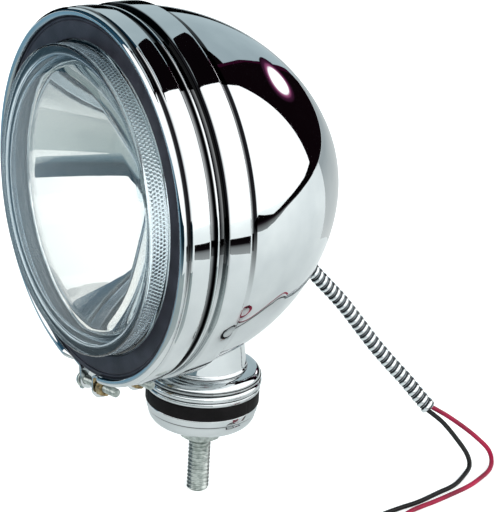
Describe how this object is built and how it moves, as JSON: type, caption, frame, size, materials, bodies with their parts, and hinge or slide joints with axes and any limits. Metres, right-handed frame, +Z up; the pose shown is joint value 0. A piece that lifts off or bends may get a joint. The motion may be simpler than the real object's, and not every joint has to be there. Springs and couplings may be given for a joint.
{
  "type": "auxiliary driving lamp",
  "caption": "Round plated driving lamp with a clear lens in a rubber ring, on a swivelling pedestal with a threaded stud, and a ribbed conduit with two leads.",
  "frame": {"origin": "on the stud's axis, at the lower face of its nut", "axes": "+Z up along the stud, -Y the way the lens faces, +X the lamp's left-hand side as it faces forward"},
  "size_m": [0.1888, 0.2149, 0.2308],
  "materials": {
    "chrome": "bright chromium plate",
    "zinc_bolt": "pale zinc plate",
    "brass_screw": "dull yellow passivated zinc",
    "gasket_rubber": "satin slate-coloured rubber",
    "black_rubber": "matte black rubber",
    "lens_glass": "clear pressed glass",
    "reflector_mirror": "bright vacuum-coated dish",
    "dark_metal": "dark tungsten and nickel wire",
    "tan_plastic": "brown moulded insulator",
    "red_insulation": "smooth crimson insulation",
    "black_insulation": "smooth black insulation",
    "conduit_steel": "bright ribbed steel strip",
    "tie_plastic": "soft black band",
    "copper_strands": "bare copper strands"
  },
  "bodies": {
    "base": {"mounting_bolt": "zinc_bolt", "hex_nut": "zinc_bolt", "lock_washer": "zinc_bolt", "lower_cup": "chrome", "rubber_ring": "black_rubber"},
    "pedestal": {"thrust_washer": "zinc_bolt", "swivel_ring": "chrome", "pedestal_flange": "chrome", "pedestal_neck": "chrome", "saddle_washer": "zinc_bolt", "black_wire": "black_insulation", "red_wire": "red_insulation", "black_coil": "black_insulation", "red_coil": "red_insulation", "coil_ties": "tie_plastic", "wire_tips": "copper_strands"},
    "head": {"bowl_shell": "chrome", "shoulder_band": "chrome", "front_rim": "chrome", "clamp_screws": "brass_screw", "clamp_nuts": "brass_screw", "lens_gasket": "gasket_rubber", "glass_lens": "lens_glass", "reflector": "reflector_mirror", "bulb_glass": "lens_glass", "bulb_filament": "dark_metal", "bulb_base": "zinc_bolt", "bulb_clip": "zinc_bolt", "bulb_holder": "tan_plastic", "live_lead": "red_insulation", "earth_lead": "black_insulation", "conduit_grommet": "black_rubber", "conduit_ferrule": "zinc_bolt", "conduit": "conduit_steel"}
  },
  "joints": [
    {"name": "pedestal_swivel", "type": "hinge", "parent": "base", "child": "pedestal", "pos_m": [0, 0, 0], "axis": [0, 0, 1], "range_deg": [-45, 45]},
    {"name": "head_tilt", "type": "hinge", "parent": "pedestal", "child": "head", "pos_m": [0, -0.04034, 0.14263], "axis": [1, 0, 0], "range_deg": [-10, 3]}
  ]
}
